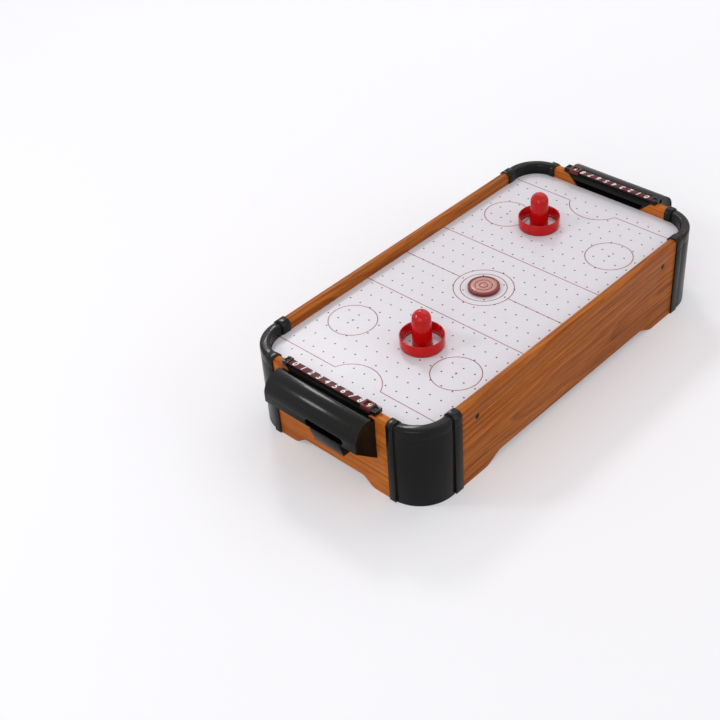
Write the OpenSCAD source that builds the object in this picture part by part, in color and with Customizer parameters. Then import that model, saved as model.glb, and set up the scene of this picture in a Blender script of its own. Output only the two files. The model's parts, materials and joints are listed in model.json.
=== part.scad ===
// Tabletop air hockey table.
// A wood frame with moulded corner covers holds a drilled playfield over an air box with a fan.
// Each end has a goal, a puck-return hood with a catch cup, and a sliding score keeper.
// Origin: centre of the footprint, on the floor. +X runs along the table, +Z is up.
// The two ends are the same parts, turned half a turn about Z.

/* [Frame] */
// Length over the end boards
frame_l = 611; // [570:1:660]
// Width over the side boards
frame_w = 310; // [295:1:340]
// Height of the rail top above the floor
frame_h = 125; // [120:1:140]
// Thickness of the frame boards
board_t = 14; // [13:0.5:16]
// Chamfer along both top edges of a board
rail_chamfer = 3.5; // [1:0.5:4]
// Height of the rail top above the playfield
rail_rise = 16; // [14:0.5:20]
// Height of the arched cut under the boards
foot_raise = 12.5; // [8:0.5:16]
// Foot length along a side board, from the end of the frame
side_foot = 116; // [100:1:140]
// Foot length along an end board, from the side of the frame
end_foot = 82; // [70:1:95]
// Run of the curve from a side foot up to the cut
side_slope = 36; // [20:1:50]
// Run of the curve from an end foot up to the cut
end_slope = 24; // [15:1:32]

/* [Corner covers] */
// Outer radius of the corners
corner_r = 53; // [50:1:60]
// Wall of the corner covers
cover_wall = 2.5; // [2:0.1:3]
// Rounding of the cover's top edges
cover_fillet = 4.5; // [3:0.25:5]
// Cover length past its collar, along a side
side_cover = 58; // [56:0.5:66]
// Cover length past its collar, along an end
end_cover = 46.5; // [44:0.5:49]
// Width of the collar on a side board
side_collar = 14; // [10:0.5:18]
// Width of the collar on an end board
end_collar = 10.5; // [8:0.5:13]
// How far the collars stand proud of the boards
collar_proud = 2; // [1.2:0.1:2.5]
// Width of the groove beside each collar
groove_w = 1.2; // [0.8:0.1:2]
// Depth of the groove beside each collar
groove_d = 0.8; // [0.4:0.1:1]
// Distance from the rail top down to the moulded line round the covers
seam_drop = 16; // [12:1:30]

/* [Playfield] */
// Thickness of the playfield sheet
field_t = 3; // [2.5:0.5:5]
// Diameter of the air holes
hole_d = 1.5; // [1:0.1:2]
// Pitch of the air holes along the table
hole_pitch_x = 21.8; // [20:0.1:23]
// Pitch of the air holes across the table
hole_pitch_y = 18.25; // [16:0.25:19]
// Air holes each side of the middle, along the table
hole_cols = 12; // [8:1:12]
// Air holes each side of the middle, across the table
hole_rows = 7; // [4:1:7]

/* [Goal] */
// Half width of the goal at the playfield
goal_half = 56.5; // [50:0.5:60]
// Half width of the goal notch at the rail top
goal_top_half = 73; // [66:0.5:74]
// Height of the goal slot above the playfield
slot_h = 9; // [8:0.5:10]
// Wall of the black goal lining
lining_t = 2; // [1.5:0.1:2.5]
// Length of the hood across the table
hood_w = 159; // [150:1:166]
// How far the hood stands out from the end board
hood_depth = 36; // [33:0.5:42]
// Height of the hood where it meets the end board
hood_h = 64; // [58:1:68]
// Height of the hood's front skin
hood_front_h = 36; // [32:0.5:40]
// Radius of the hood's rounded front
hood_r = 25; // [20:0.5:28]
// Wall of the hood and of the catch cup
hood_wall = 2.2; // [1.6:0.1:2.6]
// Distance from the board to the hood's raised top
ledge_depth = 6; // [4:0.5:8]
// Drop of the ledge behind the hood's raised top
ledge_drop = 4.5; // [3:0.5:4.5]
// Inside width of the catch cup and of the arch over it
chute_w = 50; // [47:0.5:54]

/* [Catch cup] */
// Height of the cup's floor above the table's floor
cup_z = 34; // [32:0.5:38]
// Height of the cup
cup_h = 20.5; // [18:0.5:22]
// Depth of the cup at its front lip
cup_lip_depth = 20.5; // [18:0.5:24]
// Depth of the cup at its floor
cup_foot_depth = 15.5; // [13:0.5:17]

/* [Score keepers] */
// Width of the score rail
score_w = 13; // [12:0.5:14]
// Pitch of the numbers
score_pitch = 14.1; // [13.8:0.1:14.6]
// Length of the sliding window along the rail
slider_l = 16; // [15:0.5:16.5]
// Length of each end block
block_l = 8.5; // [7:0.5:9]
// Height of the score rail's end blocks
block_h = 6.5; // [5.5:0.5:8]

/* [Pushers and puck] */
// Outer radius of a pusher
pusher_r = 29.5; // [27:0.5:33]
// Height of the pusher's rim
pusher_rim_h = 16; // [12:0.5:20]
// Wall of the pusher's rim
pusher_wall = 1.8; // [1.4:0.1:2.5]
// Radius of the pusher's handle
handle_r = 13; // [11:0.25:14]
// Height of the pusher over its felt
pusher_h = 53; // [45:0.5:60]
// Thickness of the felt under a pusher
felt_t = 1; // [0.6:0.1:2]
// Radius of the puck
puck_r = 22.2; // [20:0.1:23]
// Thickness of the puck
puck_t = 5; // [4:0.25:6]

/* [Air box] */
// Thickness of the bottom panel
panel_t = 3; // [2.5:0.5:4]
// Side of the square battens
batten = 15; // [12:0.5:16]
// Inside radius of the fan housing
fan_r = 46; // [40:0.5:50]
// Height of the fan housing
fan_h = 30; // [26:1:36]
// Number of fan blades
fan_blades = 7; // [5:1:9]
// Radius of the motor
motor_r = 13.5; // [11:0.5:15]
// Length of the motor
motor_l = 28; // [22:1:32]
// Radius of the motor shaft
shaft_r = 1.5; // [1:0.1:2]
// Radius of a battery cell
cell_r = 13.1; // [12.5:0.1:14]
// Length of a battery cell
cell_l = 50; // [48:0.5:52]
// Distance of the power switch from the middle of the rear board
switch_x = 120; // [90:1:150]
// Height of the power switch above the floor
switch_z = 60; // [45:1:75]

/* [Hidden] */
$fn = 64;

// Clearances
seat_gap = 0.3;    // between parts that seat in one another
run_gap = 0.05;    // radial, a shaft in its bush
eps = 1;           // how far a cut runs past a face

// Frame
half_l = frame_l / 2;
half_w = frame_w / 2;
field_z = frame_h - rail_rise;
field_bottom = field_z - field_t;
collar_plate = 1.5;                                    // stop inside each collar
side_seam = half_l - side_cover;                       // outer edge of the side collar, along X
end_seam = half_w - end_cover;                         // outer edge of the end collar, along Y
side_board_half = side_seam - collar_plate - seat_gap;
end_board_half = end_seam - collar_plate - seat_gap;
bend_x = half_l - corner_r;
bend_y = half_w - corner_r;
over_field = field_z + seat_gap;                       // foot of what hangs over the playfield
seam_cut = 0.4;                                        // depth of the moulded line

// Screws
screw_r = 1.7;
screw_head_r = 3.6;
screw_head_t = 2;
screw_clear = 0.2;
batten_screw_x = half_l - 102.5;
batten_mid = field_bottom - batten / 2;
end_batten_half = half_w - board_t - batten - 30;
batten_screw_l = board_t + batten - 5;

// Goal: the lining fills a notch in the end board whose ends slope outwards
notch_slope = (goal_top_half - goal_half) / rail_rise;
sill_t = 2.5;
notch_bottom = field_z - sill_t;
notch_bottom_half = goal_half - notch_slope * sill_t;

// Hood
hood_top = frame_h;
hood_low = hood_top - hood_h;                          // lowest point, at the board
hood_front = hood_top - hood_front_h;                  // foot of the front skin
hood_pitch = (hood_front - hood_low) / hood_depth;     // rise of the underside per mm outwards
hood_rise = hood_wall * sqrt(1 + hood_pitch * hood_pitch);
notch_step = 1.5;                                      // step in the back edge near the hood's ends
notch_from = 64;                                       // where that step is
arch_spring = hood_front - 1;                          // where the arch over the cup starts to curve
arch_top = hood_front + 8;
boss_r = 3.6;
boss_l = 11;
hood_boss_y = hood_w / 2 - hood_wall - boss_r + 0.6;     // bosses stand in the corners of the hood
hood_boss_z = [hood_low + 13, hood_low + 25];
ramp_angle = 29;
ramp_t = 2;
cup_screw_y = 14;
cup_screw_z = cup_z + 5.5;
cup_back_h = 10;

// Score keeper, bottom to top: base, undercut neck, head, number strip, slider
score_half = 4.5 * score_pitch + slider_l / 2 + seat_gap + block_l;
strip_half = score_half - block_l;
score_base_t = 1.2;
score_neck_z = frame_h + score_base_t;
score_head_z = score_neck_z + 1.6;
score_head_top = frame_h + 5;
score_inset = 1.5;                                     // head is this much narrower, each side
score_undercut = 1.2;
strip_t = 0.8;
slider_wall = 1.4;
slider_top_t = 1.6;
slider_low = score_neck_z + seat_gap;
slider_roof = score_head_top + strip_t + seat_gap;
score_mid = -board_t / 2;
score_head_r = screw_head_r - 0.6;
score_screw_bite = 9;                                  // length of these screws in the board

// Air box
panel_z = foot_raise + 3.5;
panel_top = panel_z + panel_t;
post_side = 16;
post_x = 95;
fan_wall = 2.5;
fan_flange = 11;
fan_flange_t = 3;
fan_top = panel_top + fan_h;
spider_t = 3;
spider_w = 10;
spider_hub_r = motor_r + 4;
motor_nose_r = 5.5;
hub_r = 14;
hub_l = 12;
hub_z = panel_top + 9;
blade_t = 1.6;
blade_pitch = 35;
blade_chord = 22;
tip_gap = 1.5;
guard_t = 2.2;
guard_rings = 5;
fan_screw_r = fan_r + fan_wall + fan_flange / 2;
shaft_top = fan_top + spider_t + 10;

// Battery box, open downwards
battery_x = half_l - 135.5;
cell_gap = 1;
bay_l = 2 * cell_l + 6;
bay_w = 4 * cell_r + 3 * cell_gap;
bay_wall = 2;
door_t = 2;
bay_h = door_t + 2 * cell_r + 2 * cell_gap;
bay_lip = 5;
door_boss = 6.4;
door_boss_h = 4.6;
door_screw_r = 1.2;
door_screw_x = -(bay_l - door_boss) / 2;
cell_z = panel_z + door_t + cell_gap / 2 + cell_r;
contact_t = 0.8;
contact_side = 1.4 * cell_r;
contact_proud = 1.8;

// Power switch
switch_l = 19;
switch_w = 13;
switch_flange = 1.5;
switch_flange_t = 1.5;
switch_depth = board_t + 6;
rocker_l = 14.8;
rocker_w = 8.6;
rocker_tilt = 7;
rocker_pin_r = 1.2;
rocker_pivot_y = half_w - 2.5;

// Leads, each starting and ending on the face of the piece that it feeds
lead_r = 1;
lead_floor = panel_top + lead_r + 0.1;
box_end_x = battery_x - bay_l / 2 - bay_wall;
box_side_y = bay_w / 2 + bay_wall;
lead_wall_y = half_w - board_t - batten - lead_r - 0.4;
switch_back_y = half_w - switch_depth;
lead_top_z = fan_top + spider_t + lead_r + 0.1;
motor_top_z = fan_top + spider_t + motor_l;
lead_arm_r = fan_r + fan_wall + lead_r + 0.2;
lead_rise_z = panel_top + fan_flange_t + 9;
lead_routes = [
    [[battery_x - 30, box_side_y, 40], [battery_x - 30, box_side_y + 6, 40],
     [battery_x - 30, box_side_y + 14, lead_floor], [switch_x + 8, lead_wall_y, lead_floor],
     [switch_x + 4, lead_wall_y, switch_z], [switch_x + 4, switch_back_y, switch_z]],
    [[switch_x - 4, switch_back_y, switch_z], [switch_x - 4, lead_wall_y, switch_z],
     [switch_x - 8, lead_wall_y, lead_floor], [0, lead_arm_r + fan_flange + 4, lead_floor],
     [2, lead_arm_r, lead_rise_z], [2, lead_arm_r, lead_top_z],
     [2, motor_r + 4, lead_top_z], [2, motor_r + 2, motor_top_z + 4], [2, 7, motor_top_z + 4],
     [2, 7, motor_top_z]],
    [[box_end_x, -14, 40], [box_end_x - 5, -14, 40], [box_end_x - 12, -20, lead_floor],
     [64, -37, lead_floor], [44.6, -25.8, lead_rise_z], [44.6, -25.8, lead_top_z],
     [15, -8.7, lead_top_z], [13, -7.5, motor_top_z + 4], [6, -3.5, motor_top_z + 4],
     [6, -3.5, motor_top_z]]
];

// Pieces on the playfield
pusher_at = [[-147, -17], [170, 35]];
puck_at = [-1, -1];
spoke_w = 15;
spoke_t = 3;
spoke_turn = 43;
felt_w = 3;

wood = "#a8642a";
black = "#1c1e1d";
white = "#e6e3ea";
red = "#b3161b";
maroon = "#6d2026";

// ---------- shared shapes ----------

// Points along an arc
function arc(cx, cy, r, from, to, n = 6) =
    [for (i = [0:n]) let (a = from + (to - from) * i / n) [cx + r * cos(a), cy + r * sin(a)]];

// An S-curve of the given run that climbs by rise
function s_curve(x0, run, rise, n = 8) =
    [for (i = [0:n]) [x0 + run * i / n, rise * (1 - cos(180 * i / n)) / 2]];

function mirrored(points) = [for (i = [len(points) - 1:-1:0]) [-points[i][0], points[i][1]]];

function reversed(points) = [for (i = [len(points) - 1:-1:0]) points[i]];

// Lower edge of a board from its left end to its right end, with the arched cut
function foot_edge(half, foot, run) =
    concat([[-half, 0]], s_curve(-foot, run, foot_raise), mirrored(s_curve(-foot, run, foot_raise)),
           [[half, 0]]);

// Board cross-section grown by o: s runs outwards from the inner face, z up
function board_section(o, foot_out, foot_in) =
    let (k = o * tan(22.5), t = board_t, c = rail_chamfer, h = frame_h)
    [[t + o, foot_out], [t + o, h - c + k], [t - c + k, h + o], [c - k, h + o],
     [-o, h - c + k], [-o, foot_in]];

// Same, with rounded top edges, for the bends of the covers
function cover_section(o, foot_out, foot_in) =
    let (t = board_t, f = cover_fillet, h = frame_h)
    concat([[t + o, foot_out]], arc(t - f, h - f, f + o, 0, 90), arc(f, h - f, f + o, 90, 180),
           [[-o, foot_in]]);

// Shallow line moulded into the outer face at s
function seam_line(s) = let (z = frame_h - seam_drop)
    [[s, z - seam_cut], [s - seam_cut, z], [s, z + seam_cut]];

// Puts a moulded line after the first point of a section
function with_seam(points) =
    concat([points[0]], seam_line(points[0][0]), [for (i = [1:len(points) - 1]) points[i]]);

// Extrudes (s, z) points along X; s = 0 lies at y = 0 and s grows towards +Y
module along_x(from, to, points)
    translate([from, 0, 0]) rotate([90, 0, 90]) linear_extrude(to - from) polygon(points);

// Extrudes (s, z) points along Y; s = 0 lies at x = 0 and s grows towards +X
module along_y(from, to, points)
    translate([0, to, 0]) rotate([90, 0, 0]) linear_extrude(to - from) polygon(points);

// Puts an end part, drawn with +X outwards from the board's outer face, on the left or right end
module on_end(side)
    rotate([0, 0, side < 0 ? 180 : 0]) translate([half_l, 0, 0]) children();

// A rod along X from x0 to x1
module rod_x(x0, x1, r) translate([x0, 0, 0]) rotate([0, 90, 0]) cylinder(r = r, h = x1 - x0);

// A rod along Y from y0 to y1
module rod_y(y0, y1, r) translate([0, y1, 0]) rotate([90, 0, 0]) cylinder(r = r, h = y1 - y0);

// A wood screw with its head's outer face at x = 0, pointing to -X
module screw_x(length) {
    rod_x(-length, 0, screw_r);
    rod_x(-screw_head_t, 0, screw_head_r);
}

module board(half, foot, run, notch = []) {
    intersection() {
        rotate([90, 0, 0]) translate([0, 0, -board_t]) linear_extrude(board_t)
            polygon(concat(foot_edge(half, foot, run), [[half, frame_h]], notch, [[-half, frame_h]]));
        along_x(-half, half, board_section(0, 0, 0));
    }
}

// ---------- frame ----------

// side: -1 front, 1 rear
module side_board(side) {
    color(wood) rotate([0, 0, side < 0 ? 180 : 0]) translate([0, half_w - board_t, 0])
    difference() {
        board(side_board_half, half_l - side_foot, side_slope);
        for (sx = [-1, 1]) translate([sx * batten_screw_x, 0, batten_mid]) {
            rod_y(-eps, board_t + eps, screw_r + screw_clear);
            rod_y(board_t - screw_head_t, board_t + eps, screw_head_r + screw_clear);
        }
        if (side > 0)
            translate([switch_x - switch_l / 2 - seat_gap, -eps, switch_z - switch_w / 2 - seat_gap])
                cube([switch_l + 2 * seat_gap, board_t + 2 * eps, switch_w + 2 * seat_gap]);
    }
}

module end_board(side) {
    notch = [[goal_top_half, frame_h], [notch_bottom_half, notch_bottom],
             [-notch_bottom_half, notch_bottom], [-goal_top_half, frame_h]];
    color(wood) on_end(side) difference() {
        translate([-board_t, 0, 0]) rotate([0, 0, -90])
            board(end_board_half, half_w - end_foot, end_slope, notch);
        for (sy = [-1, 1]) {
            for (z = hood_boss_z) translate([0, sy * hood_boss_y, z])
                rod_x(-board_t - eps, eps, screw_r + screw_clear);
            translate([0, sy * cup_screw_y, cup_screw_z])
                rod_x(-board_t - eps, eps, screw_r + screw_clear);
            translate([score_mid, sy * (score_half - block_l / 2), frame_h - score_screw_bite - 1])
                cylinder(r = screw_r + screw_clear, h = score_screw_bite + 1 + eps);
        }
    }
}

// Filled cover section, kept off the playfield
function collar_fill(o) = concat(with_seam(board_section(o, 0, over_field)), [[0, over_field], [0, 0]]);

// Collar round the end of a board, along X from x = -width to 0, with its stop at x = 0
module collar(width)
    difference() {
        along_x(-width, 0, collar_fill(collar_proud));
        along_x(-width - eps, -collar_plate, board_section(seat_gap, -eps, -eps));
    }

function cover_shell() = concat(with_seam(cover_section(0, 0, over_field)),
                                reversed(cover_section(-cover_wall, 0, over_field)));

// Moulded cover over one corner, drawn for +X +Y
module corner_cover(sx, sy)
    color(black) mirror([sx < 0 ? 1 : 0, 0, 0]) mirror([0, sy < 0 ? 1 : 0, 0]) union() {
        translate([side_seam, half_w - board_t, 0]) {
            collar(side_collar);
            along_x(0, groove_w, cover_section(-groove_d, 0, 0));
            along_x(groove_w, bend_x - side_seam, cover_shell());
        }
        translate([half_l - board_t, end_seam, 0]) mirror([1, -1, 0]) {
            collar(end_collar);
            along_x(0, groove_w, cover_section(-groove_d, 0, 0));
        }
        difference() {
            translate([bend_x, bend_y, 0]) rotate_extrude(angle = 90)
                translate([corner_r - board_t, 0]) polygon(cover_shell());
            translate([bend_x, bend_y - eps, -eps])
                cube([corner_r + eps, end_seam + groove_w - bend_y + eps, frame_h + 2 * eps]);
        }
    }

// ---------- playfield and air box ----------

module playfield() {
    fx = half_l - board_t - seat_gap;
    fy = half_w - board_t - seat_gap;
    fr = corner_r - board_t - seat_gap;
    color(white) translate([0, 0, field_bottom]) linear_extrude(field_t) difference() {
        union() {
            square([2 * fx, 2 * (fy - fr)], center = true);
            square([2 * (fx - fr), 2 * fy], center = true);
            for (sx = [-1, 1], sy = [-1, 1]) translate([sx * (fx - fr), sy * (fy - fr)]) circle(fr);
        }
        for (i = [-hole_cols:hole_cols], j = [-hole_rows:hole_rows])
            if (abs(i) < hole_cols || abs(j) < hole_rows)
                translate([i * hole_pitch_x, j * hole_pitch_y]) circle(d = hole_d, $fn = 16);
    }
}

module field_batten_side(side)
    color("#c9a56f") rotate([0, 0, side < 0 ? 180 : 0]) difference() {
        translate([-(side_seam - side_collar), half_w - board_t - batten, field_bottom - batten])
            cube([2 * (side_seam - side_collar), batten, batten]);
        for (sx = [-1, 1]) translate([sx * batten_screw_x, half_w - board_t, batten_mid])
            rod_y(-batten + 3, eps, screw_r + screw_clear);
    }

module field_batten_end(side)
    color("#c9a56f") on_end(side)
        translate([-board_t - batten, -end_batten_half, field_bottom - batten])
            cube([batten, 2 * end_batten_half, batten]);

module floor_batten(side)
    color("#c9a56f") rotate([0, 0, side < 0 ? 180 : 0])
        translate([-(side_seam - side_collar), half_w - board_t - batten, panel_top])
            cube([2 * (side_seam - side_collar), batten, batten]);

module bottom_panel() {
    px = half_l - board_t - seat_gap;
    py = half_w - board_t - seat_gap;
    pr = corner_r - board_t - seat_gap;
    color("#8a6b4a") translate([0, 0, panel_z]) linear_extrude(panel_t) difference() {
        union() {
            square([2 * px, 2 * (py - pr)], center = true);
            square([2 * (px - pr), 2 * py], center = true);
            for (sx = [-1, 1], sy = [-1, 1]) translate([sx * (px - pr), sy * (py - pr)]) circle(pr);
        }
        circle(fan_r);
        for (a = [45:90:315]) rotate(a) translate([fan_screw_r, 0]) circle(screw_r + screw_clear);
        translate([battery_x, 0])
            square([bay_l + 2 * bay_wall + 2 * seat_gap, bay_w + 2 * bay_wall + 2 * seat_gap],
                   center = true);
    }
}

module field_post(side)
    color("#c9a56f") translate([side * post_x - post_side / 2, -post_side / 2, panel_top])
        cube([post_side, post_side, field_bottom - panel_top]);

// Ring-shaped shroud on the bottom panel; a three-armed bridge carries the motor
module fan_housing()
    color("#2b2d2f") difference() {
        union() {
            translate([0, 0, panel_top]) cylinder(r = fan_r + fan_wall, h = fan_h);
            translate([0, 0, panel_top])
                cylinder(r = fan_r + fan_wall + fan_flange, h = fan_flange_t);
            translate([0, 0, fan_top]) cylinder(r = spider_hub_r, h = spider_t);
            for (a = [90:120:330]) rotate(a) translate([0, -spider_w / 2, fan_top - eps])
                cube([fan_r + fan_wall / 2, spider_w, spider_t + eps]);
        }
        translate([0, 0, panel_top - eps]) cylinder(r = fan_r, h = fan_h + eps);
        translate([0, 0, fan_top - 2 * eps]) cylinder(r = motor_nose_r + seat_gap, h = spider_t + 3 * eps);
        for (a = [45:90:315]) rotate(a) translate([fan_screw_r, 0, panel_top - eps])
            cylinder(r = screw_r + screw_clear, h = fan_flange_t + 2 * eps);
    }

module fan_motor()
    color("#9a9da1") difference() {
        union() {
            translate([0, 0, fan_top + spider_t]) cylinder(r = motor_r, h = motor_l);
            translate([0, 0, fan_top]) cylinder(r = motor_nose_r, h = spider_t);
        }
        translate([0, 0, fan_top - eps]) cylinder(r = shaft_r + run_gap, h = shaft_top - fan_top + 2 * eps);
    }

module motor_shaft()
    color("#c4c7ca") translate([0, 0, hub_z - 2]) cylinder(r = shaft_r, h = shaft_top - hub_z + 2);

module fan_impeller() {
    inner = hub_r - 2;
    blade_l = fan_r - tip_gap - inner - 1.5;
    color("#3a3d40") difference() {
        union() {
            translate([0, 0, hub_z]) cylinder(r = hub_r, h = hub_l);
            for (i = [0:fan_blades - 1]) rotate(i * 360 / fan_blades)
                translate([inner + blade_l / 2, 0, hub_z + hub_l / 2]) rotate([blade_pitch, 0, 0])
                    cube([blade_l, blade_chord * 0.7, blade_t], center = true);
        }
        translate([0, 0, hub_z - eps]) cylinder(r = shaft_r + 0.02, h = hub_l + 2 * eps);
    }
}

// Flat grille under the fan: rings and spokes in one sheet
module fan_guard() {
    outer = fan_r + fan_wall + fan_flange;
    pitch = fan_r / guard_rings;
    color("#2b2d2f") translate([0, 0, panel_z - guard_t]) linear_extrude(guard_t) difference() {
        union() {
            difference() { circle(outer); circle(fan_r - 1); }
            for (i = [1:guard_rings - 1]) difference() { circle(i * pitch + 1); circle(i * pitch - 1); }
            for (a = [0:60:120]) rotate(a) square([2 * fan_r, 2.4], center = true);
            circle(pitch / 2);
        }
        for (a = [45:90:315]) rotate(a) translate([fan_screw_r, 0]) circle(screw_r + screw_clear);
    }
}

module battery_box()
    color("#2b2d2f") translate([battery_x, 0, panel_z]) difference() {
        union() {
            translate([-bay_l / 2 - bay_wall, -bay_w / 2 - bay_wall, 0])
                cube([bay_l + 2 * bay_wall, bay_w + 2 * bay_wall, bay_h + bay_wall]);
            translate([-bay_l / 2 - bay_wall - bay_lip, -bay_w / 2 - bay_wall - bay_lip, panel_t])
                cube([bay_l + 2 * (bay_wall + bay_lip), bay_w + 2 * (bay_wall + bay_lip), 2]);
        }
        difference() {
            translate([-bay_l / 2, -bay_w / 2, -eps]) cube([bay_l, bay_w, bay_h + eps]);
            translate([door_screw_x - door_boss / 2 - eps, -door_boss / 2, door_t + seat_gap])
                cube([door_boss + eps, door_boss, door_boss_h]);
        }
        translate([door_screw_x, 0, -eps]) cylinder(r = door_screw_r + 0.1, h = door_t + door_boss_h + eps);
    }

// Door held by one screw, with grip lines at its other end
module battery_door()
    color("#2b2d2f") translate([battery_x, 0, panel_z]) difference() {
        translate([-bay_l / 2 + seat_gap, -bay_w / 2 + seat_gap, 0])
            cube([bay_l - 2 * seat_gap, bay_w - 2 * seat_gap, door_t]);
        translate([door_screw_x, 0, -eps])
            cylinder(r = door_screw_r + screw_clear, h = door_t + 2 * eps);
        for (i = [0:4]) translate([bay_l / 2 - 12 - 4 * i, -bay_w / 4, -eps])
            cube([1.6, bay_w / 2, eps + 0.6]);
    }

module battery_cells()
    color("#5b6f8c") for (sx = [-1, 1], sy = [-1, 1])
        translate([battery_x, sy * (cell_r + cell_gap / 2), cell_z]) {
            x0 = sx < 0 ? -cell_l - 0.5 : 0.5;
            rod_x(x0, x0 + cell_l - 1.5, cell_r);
            rod_x(x0 + cell_l - 1.5, x0 + cell_l, 3);
        }

module battery_contacts()
    color("#c4c7ca") for (sx = [-1, 1], sy = [-1, 1])
        translate([battery_x + sx * (bay_l - contact_t) / 2, sy * (cell_r + cell_gap / 2), cell_z]) {
            cube([contact_t, contact_side, contact_side], center = true);
            rod_x(sx < 0 ? 0 : -contact_proud, sx < 0 ? contact_proud : 0, contact_side / 4.5);
        }

// Rocker switch in the rear board, its rocker turned about Z
module switch_housing()
    color(black) translate([switch_x, 0, switch_z]) difference() {
        union() {
            translate([-switch_l / 2, half_w - switch_depth, -switch_w / 2])
                cube([switch_l, switch_depth, switch_w]);
            translate([-switch_l / 2 - switch_flange, half_w, -switch_w / 2 - switch_flange])
                cube([switch_l + 2 * switch_flange, switch_flange_t, switch_w + 2 * switch_flange]);
        }
        translate([-rocker_l / 2 - 0.6, half_w - 8, -rocker_w / 2 - seat_gap])
            cube([rocker_l + 1.2, 8 + switch_flange_t + eps, rocker_w + 2 * seat_gap]);
        translate([0, rocker_pivot_y, -switch_w / 2 + 0.6])
            cylinder(r = rocker_pin_r + run_gap, h = switch_w - 1.2);
    }

module switch_rocker()
    color("#121313") translate([switch_x, rocker_pivot_y, switch_z]) rotate([0, 0, rocker_tilt]) {
        top = half_w + switch_flange_t - rocker_pivot_y;
        translate([0, 0, -rocker_w / 2]) linear_extrude(rocker_w) polygon([
            [-rocker_l / 2, top + 0.6], [0, top - 0.4], [rocker_l / 2, top + 0.6],
            [rocker_l / 2 - 0.6, 0], [3, -3.4], [-3, -3.4], [-rocker_l / 2 + 0.6, 0]]);
        translate([0, 0, -switch_w / 2 + 0.8]) cylinder(r = rocker_pin_r, h = switch_w - 1.6);
    }

// Leads clipped along the air box: battery to switch, switch to motor, motor to battery
module power_leads()
    color("#7a1f1f") for (route = lead_routes) tube(route, lead_r, 8);

function unit(v) = v / norm(v);

// Direction of a route at point i
function heading(p, i) =
    unit((i > 0 ? unit(p[i] - p[i - 1]) : [0, 0, 0])
         + (i < len(p) - 1 ? unit(p[i + 1] - p[i]) : [0, 0, 0]));

// Ring of points square to the route at point i
function ring(p, i, r, sides) =
    let (t = heading(p, i), u = unit(cross([0.36, 0.48, 0.8], t)), v = cross(t, u))
    [for (k = [0:sides - 1]) p[i] + r * (cos(360 * k / sides) * u + sin(360 * k / sides) * v)];

module tube(p, r, sides) {
    last = len(p) - 1;
    polyhedron(
        points = [for (i = [0:last]) each ring(p, i, r, sides)],
        faces = concat(
            [[for (k = [0:sides - 1]) k]],
            [for (i = [0:last - 1], k = [0:sides - 1]) let (m = (k + 1) % sides)
                [i * sides + k, (i + 1) * sides + k, (i + 1) * sides + m, i * sides + m]],
            [[for (k = [sides - 1:-1:0]) last * sides + k]]));
}

// ---------- goals ----------

// Half width of the notch, less gap, at height z
function notch_half(z, gap) =
    notch_bottom_half + notch_slope * (z - notch_bottom) - gap * sqrt(1 + notch_slope * notch_slope);

function trapezoid(z0, z1, gap) =
    [[-notch_half(z0, gap), z0], [notch_half(z0, gap), z0],
     [notch_half(z1, gap), z1], [-notch_half(z1, gap), z1]];

// Black frame that lines the notch in the end board; drawn with +X outwards
module goal_lining(side)
    color(black) on_end(side) rotate([90, 0, 90]) translate([0, 0, -board_t]) linear_extrude(board_t)
        difference() {
            polygon(trapezoid(notch_bottom + 0.1, frame_h, seat_gap));
            polygon(trapezoid(field_z - 0.2, field_z + slot_h, seat_gap + lining_t));
        }

// Outline of the hood's side: depth outwards, height
function hood_outline() = concat(
    [[0, hood_low], [hood_depth, hood_front]],
    arc(hood_depth - hood_r, hood_top - hood_r, hood_r, 0, 90, 10),
    [[ledge_depth, hood_top], [ledge_depth, hood_top - ledge_drop], [0, hood_top - ledge_drop]]);

// Hollow behind it, open at the board
function hood_hollow() = let (w = hood_wall) concat(
    [[-eps, hood_low + hood_rise - eps * hood_pitch],
     [hood_depth - w, hood_low + hood_rise + (hood_depth - w) * hood_pitch]],
    arc(hood_depth - hood_r, hood_top - hood_r, hood_r - w, 0, 90, 10),
    [[ledge_depth + w, hood_top - w], [ledge_depth + w, hood_top - ledge_drop - w],
     [-eps, hood_top - ledge_drop - w]]);

// Arch over the cup, where the puck drops and a hand reaches it: y, height
function hood_arch() =
    let (half = chute_w / 2, rise = arch_top - arch_spring, r = (half * half + rise * rise) / (2 * rise),
         turn = asin(half / r))
    concat([[-half, hood_low - eps], [half, hood_low - eps]],
           arc(0, arch_top - r, r, 90 - turn, 90 + turn, 8));

// Shelf inside the hood that rolls a puck towards the arch
module chute_ramp()
    intersection() {
        translate([0, chute_w / 2, hood_low + 4]) rotate([ramp_angle, 0, 0])
            translate([0, 0, -ramp_t]) cube([hood_depth, hood_w, ramp_t]);
        along_y(0, hood_w / 2 - hood_wall / 2, hood_outline());
    }

module goal_hood(side)
    color(black) on_end(side) difference() {
        union() {
            difference() {
                along_y(-hood_w / 2, hood_w / 2, hood_outline());
                along_y(-hood_w / 2 + hood_wall, hood_w / 2 - hood_wall, hood_hollow());
            }
            chute_ramp();
            mirror([0, 1, 0]) chute_ramp();
            for (sy = [-1, 1], z = hood_boss_z) intersection() {
                translate([0, sy * hood_boss_y, z]) rod_x(0, boss_l, boss_r);
                along_y(-hood_w / 2, hood_w / 2, hood_outline());
            }
        }
        along_x(-eps, hood_depth + eps, hood_arch());
        // step in the back edge of the raised top
        translate([ledge_depth - eps, -notch_from, hood_top - 1.2])
            cube([eps + notch_step, 2 * notch_from, 1.2 + eps]);
        for (sy = [-1, 1], z = hood_boss_z) translate([0, sy * hood_boss_y, z])
            rod_x(-eps, boss_l - 1.5, screw_r - 0.3 + screw_clear + 0.2);
    }

// Height of the cup's cheeks at a depth: they stop just under the hood
function cup_cheek(d) = hood_low + hood_pitch * d - seat_gap - 0.2;

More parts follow.
